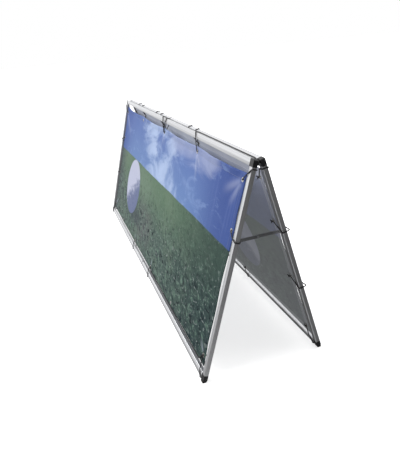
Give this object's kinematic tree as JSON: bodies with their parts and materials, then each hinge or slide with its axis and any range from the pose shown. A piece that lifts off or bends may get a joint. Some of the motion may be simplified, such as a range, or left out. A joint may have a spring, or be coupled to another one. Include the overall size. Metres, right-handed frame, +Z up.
{
  "type": "folding banner stand",
  "caption": "Long folding A-frame sandwich board: two hinged aluminium frames with printed banners laced in by elastic ties, and folding spreader stays.",
  "frame": {"origin": "on the ground under the middle of the open stand", "axes": "+Z up, +X along the stand, +Y from the front frame to the rear frame"},
  "size_m": [2.5097, 0.6174, 0.9771],
  "materials": {
    "bars": "satin",
    "black_plastic": "moulded, slightly grained",
    "black_rubber": "matt",
    "steel": "zinc plated",
    "stay_bars": "satin, scuffed",
    "eyelets": "nickel plated",
    "elastic": "braided",
    "front_banner": "printed polyester, slight sheen",
    "rear_banner": "printed polyester seen from the back"
  },
  "bodies": {
    "front_frame": {"front_top_rail_left": "bars", "front_top_rail_right": "bars", "front_bottom_rail_left": "bars", "front_bottom_rail_right": "bars", "front_stile_left": "bars", "front_stile_right": "bars", "front_top_splice": "black_plastic", "front_bottom_splice": "black_plastic", "front_top_corner_left": "black_plastic", "front_top_corner_right": "black_plastic", "front_bottom_corner_left": "black_plastic", "front_bottom_corner_right": "black_plastic", "front_foot_left": "black_rubber", "front_foot_right": "black_rubber", "front_rivets": "steel", "front_stay_pivots": "steel", "front_banner": "front_banner", "front_eyelets": "eyelets", "front_top_ties": "elastic", "front_bottom_ties": "elastic", "front_side_ties": "elastic", "front_top_lacing": "elastic", "front_bottom_lacing": "elastic", "hinge_pin_left": "steel", "hinge_pin_right": "steel"},
    "rear_frame": {"rear_top_rail_left": "bars", "rear_top_rail_right": "bars", "rear_bottom_rail_left": "bars", "rear_bottom_rail_right": "bars", "rear_stile_left": "bars", "rear_stile_right": "bars", "rear_top_splice": "black_plastic", "rear_bottom_splice": "black_plastic", "rear_top_corner_left": "black_plastic", "rear_top_corner_right": "black_plastic", "rear_bottom_corner_left": "black_plastic", "rear_bottom_corner_right": "black_plastic", "rear_foot_left": "black_rubber", "rear_foot_right": "black_rubber", "rear_rivets": "steel", "rear_stay_pivots": "steel", "rear_banner": "rear_banner", "rear_eyelets": "eyelets", "rear_top_ties": "elastic", "rear_bottom_ties": "elastic", "rear_side_ties": "elastic"},
    "front_stay_left": {"front_stay_left": "stay_bars", "knee_rivet_left": "steel"},
    "front_stay_right": {"front_stay_right": "stay_bars", "knee_rivet_right": "steel"},
    "rear_stay_left": {"rear_stay_left": "stay_bars", "knee_tail_left": "steel"},
    "rear_stay_right": {"rear_stay_right": "stay_bars", "knee_tail_right": "steel"}
  },
  "joints": [
    {"name": "fold", "type": "hinge", "parent": "front_frame", "child": "rear_frame", "pos_m": [0, 0, 0.95027], "axis": [1, 0, 0], "range_deg": [-32.6, 0]},
    {"name": "front_stay_left_turn", "type": "hinge", "parent": "front_frame", "child": "front_stay_left", "pos_m": [-1.2163, -0.1094, 0.63844], "axis": [1, 0, 0], "range_deg": [-97.61, 0.5]},
    {"name": "rear_stay_left_turn", "type": "hinge", "parent": "rear_frame", "child": "rear_stay_left", "pos_m": [-1.2129, 0.1094, 0.63844], "axis": [1, 0, 0], "range_deg": [-0.5, 97.61]},
    {"name": "front_stay_right_turn", "type": "hinge", "parent": "front_frame", "child": "front_stay_right", "pos_m": [1.2163, -0.1094, 0.63844], "axis": [1, 0, 0], "range_deg": [-97.61, 0.5]},
    {"name": "rear_stay_right_turn", "type": "hinge", "parent": "rear_frame", "child": "rear_stay_right", "pos_m": [1.2129, 0.1094, 0.63844], "axis": [1, 0, 0], "range_deg": [-0.5, 97.61]}
  ],
  "couplings": [
    {"joint": "front_stay_left_turn", "follows": "fold", "ratio": 2.9787},
    {"joint": "rear_stay_left_turn", "follows": "fold", "ratio": -2.9787},
    {"joint": "front_stay_right_turn", "follows": "fold", "ratio": 2.9787},
    {"joint": "rear_stay_right_turn", "follows": "fold", "ratio": -2.9787}
  ]
}
